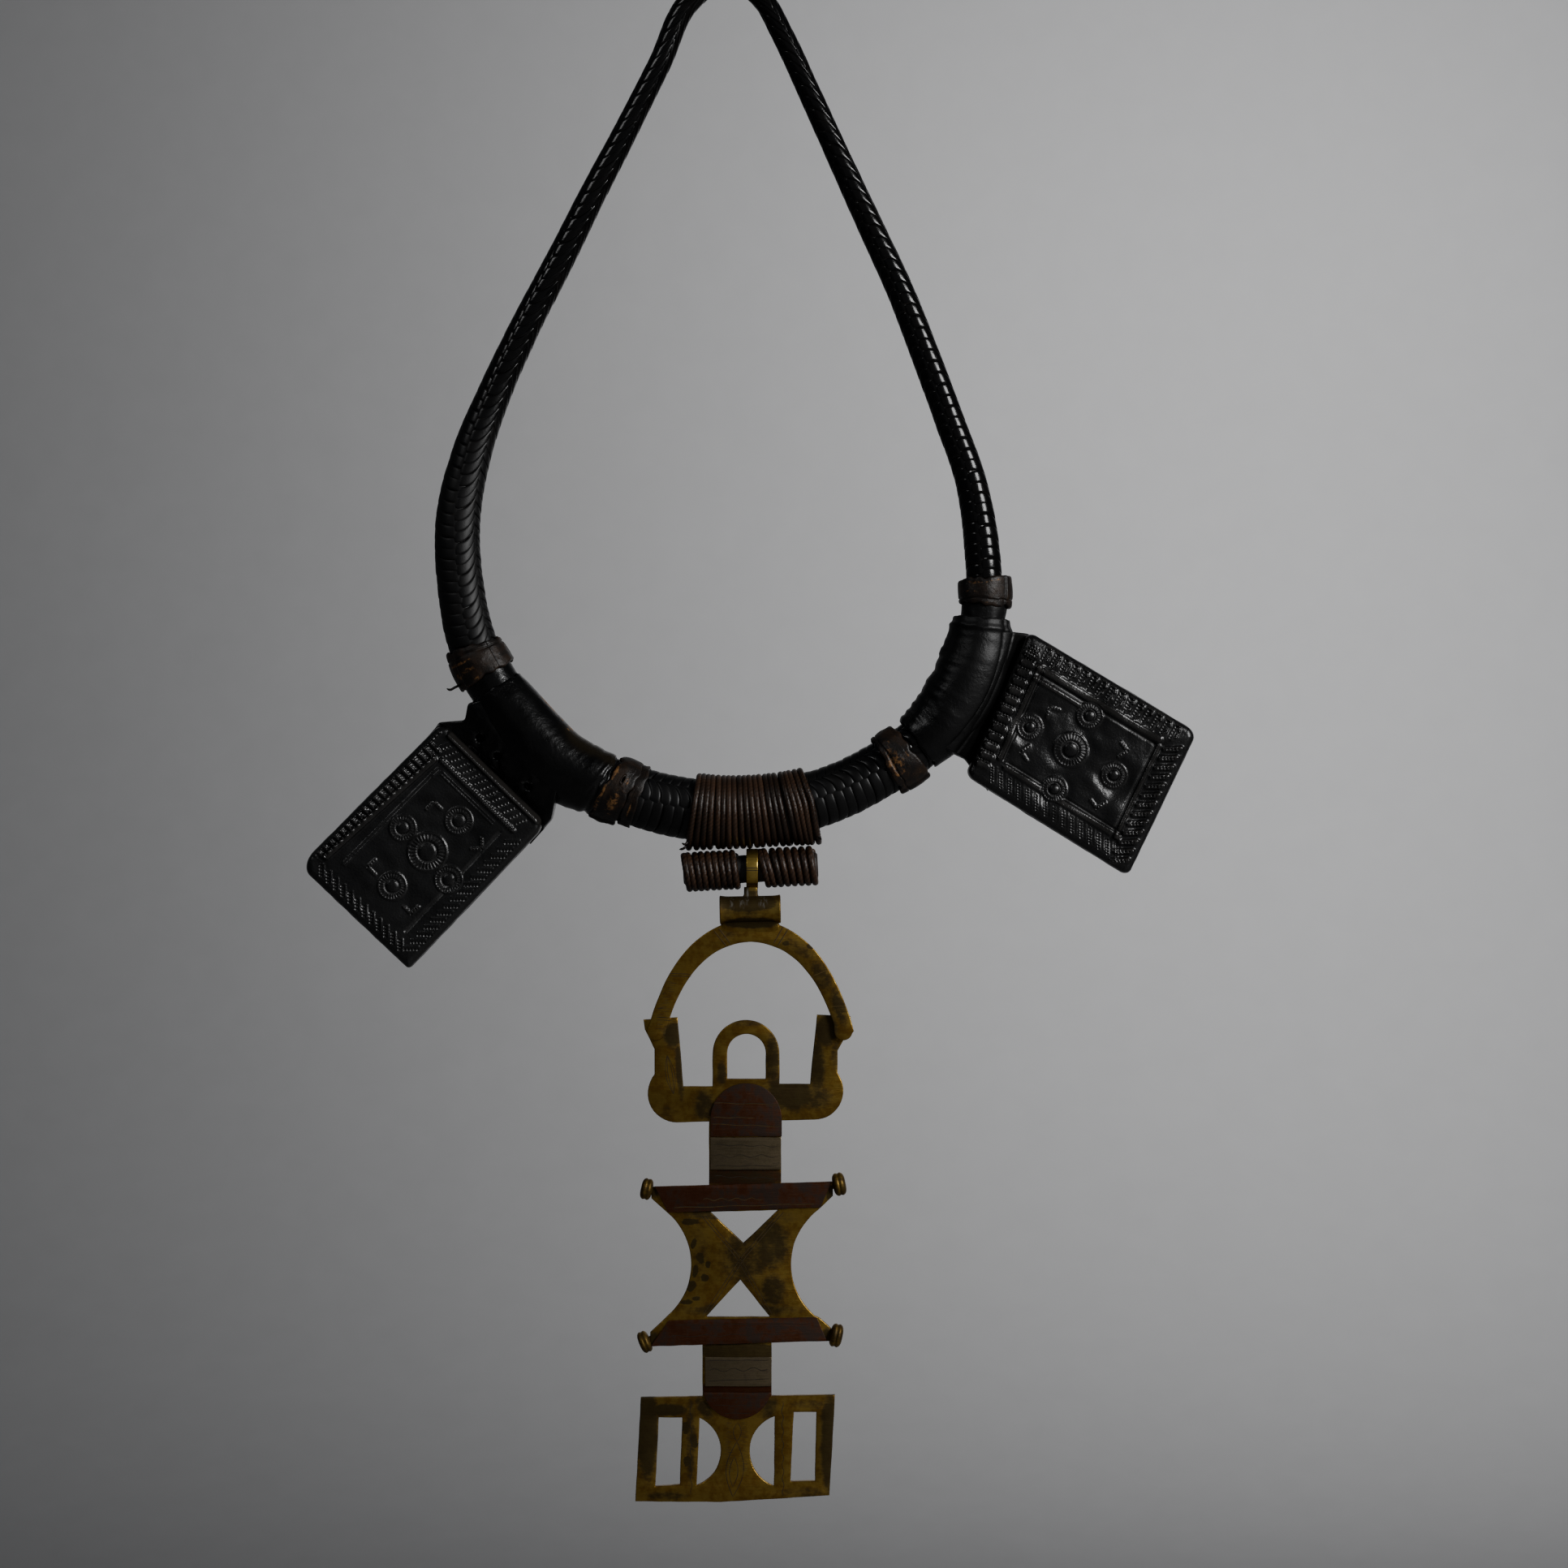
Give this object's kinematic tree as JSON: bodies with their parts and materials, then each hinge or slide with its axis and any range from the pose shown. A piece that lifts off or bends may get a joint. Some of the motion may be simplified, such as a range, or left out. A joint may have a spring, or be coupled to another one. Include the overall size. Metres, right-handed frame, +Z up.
{
  "type": "gris-gris amulet necklace",
  "caption": "Closed braided leather collar with stamped leather amulet pouches, a wound cord binding and a cut brass pendant with copper and pale metal overlays that swings below it.",
  "frame": {"origin": "inside the top bend of the collar, on its middle plane, where the necklace hangs from a peg or lies at the back of a neck", "axes": "+Z up along the necklace's length, +X to the right as seen from the front, -Y out of the front"},
  "size_m": [0.2736, 0.0218, 0.4734],
  "materials": {
    "black_leather": "polished and worn",
    "pouch_leather": "stamped, waxed, brown where worn",
    "brown_leather": "worn",
    "waxed_cord": "waxed twisted cord",
    "core_leather": "dull",
    "brass": "engraved, with dark patina",
    "copper": "copper, engraved, dark red-brown patina",
    "pale_metal": "nickel silver, engraved, tarnished"
  },
  "bodies": {
    "collar": {"collar_rope": "black_leather", "sleeve_left": "black_leather", "sleeve_right": "black_leather", "pouch_left": "pouch_leather", "pouch_right": "pouch_leather", "band_left_upper": "brown_leather", "band_left_lower": "brown_leather", "band_right_lower": "brown_leather", "band_right_upper": "brown_leather", "binding_wrap": "waxed_cord", "roll_left": "waxed_cord", "roll_right": "waxed_cord", "roll_core": "core_leather"},
    "pendant": {"pendant_frame": "brass", "copper_cap_upper": "copper", "silver_band_upper": "pale_metal", "copper_bar_upper": "copper", "copper_bar_lower": "copper", "silver_band_lower": "pale_metal", "copper_cap_lower": "copper"}
  },
  "joints": [
    {"name": "pendant_swing", "type": "hinge", "parent": "collar", "child": "pendant", "pos_m": [0.0072, 0, -0.2716], "axis": [1, 0, 0], "range_deg": [-105, 105]}
  ]
}
